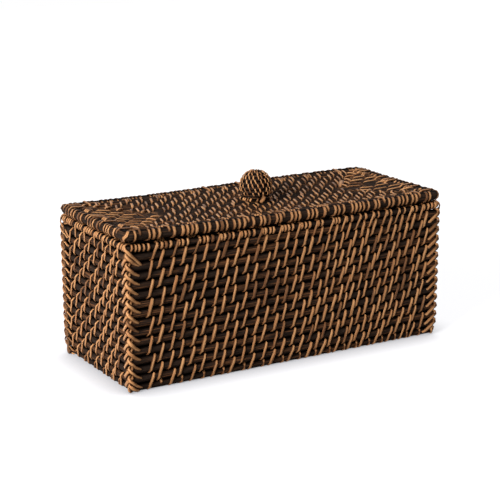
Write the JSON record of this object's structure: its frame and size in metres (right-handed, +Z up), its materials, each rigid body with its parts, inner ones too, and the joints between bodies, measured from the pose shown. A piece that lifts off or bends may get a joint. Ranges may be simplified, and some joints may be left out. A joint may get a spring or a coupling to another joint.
{
  "type": "lidded rattan storage box",
  "caption": "Rectangular storage box of stitched rattan core with laced corners, bound rim and a lift-off lid with a woven ball knob.",
  "frame": {"origin": "centre of the bounding box at the surface the box stands on", "axes": "+X along the length of the box, +Y from the front long wall to the back one, +Z up, the way the lid lifts"},
  "size_m": [0.35, 0.145, 0.1784],
  "materials": {
    "smoked_core": "smoke-darkened rattan core, dry satin, sanded brown along the crests",
    "edge_rod": "smoke-darkened thick rattan rod, dry satin",
    "peel": "split rattan peel, honey tan, satin",
    "knob_core": "thin smoke-darkened core under peel stitches"
  },
  "bodies": {
    "body": {"front_wall": "smoked_core", "right_wall": "smoked_core", "back_wall": "smoked_core", "left_wall": "smoked_core", "corner_lacing_front_left": "peel", "corner_lacing_front_right": "peel", "corner_lacing_back_right": "peel", "corner_lacing_back_left": "peel", "rim_rod": "edge_rod", "floor_row_1": "smoked_core", "floor_row_2": "smoked_core", "floor_row_3": "smoked_core", "floor_row_4": "smoked_core", "floor_row_5": "smoked_core", "floor_row_6": "smoked_core", "floor_centre_rod": "smoked_core"},
    "lid": {"lid_edge_rod": "edge_rod", "lid_row_1": "smoked_core", "lid_row_2": "smoked_core", "lid_row_3": "smoked_core", "lid_row_4": "smoked_core", "lid_row_5": "smoked_core", "lid_row_6": "smoked_core", "lid_row_7": "smoked_core", "lid_centre_rod": "smoked_core", "lid_locating_frame": "edge_rod", "knob_ball": "knob_core", "knob_collar": "peel", "knob_stem": "smoked_core", "knob_tie": "peel"}
  },
  "joints": [
    {"name": "lid_lift", "type": "slide", "parent": "body", "child": "lid", "axis": [0, 0, 1], "range_m": [0, 0.16]}
  ]
}
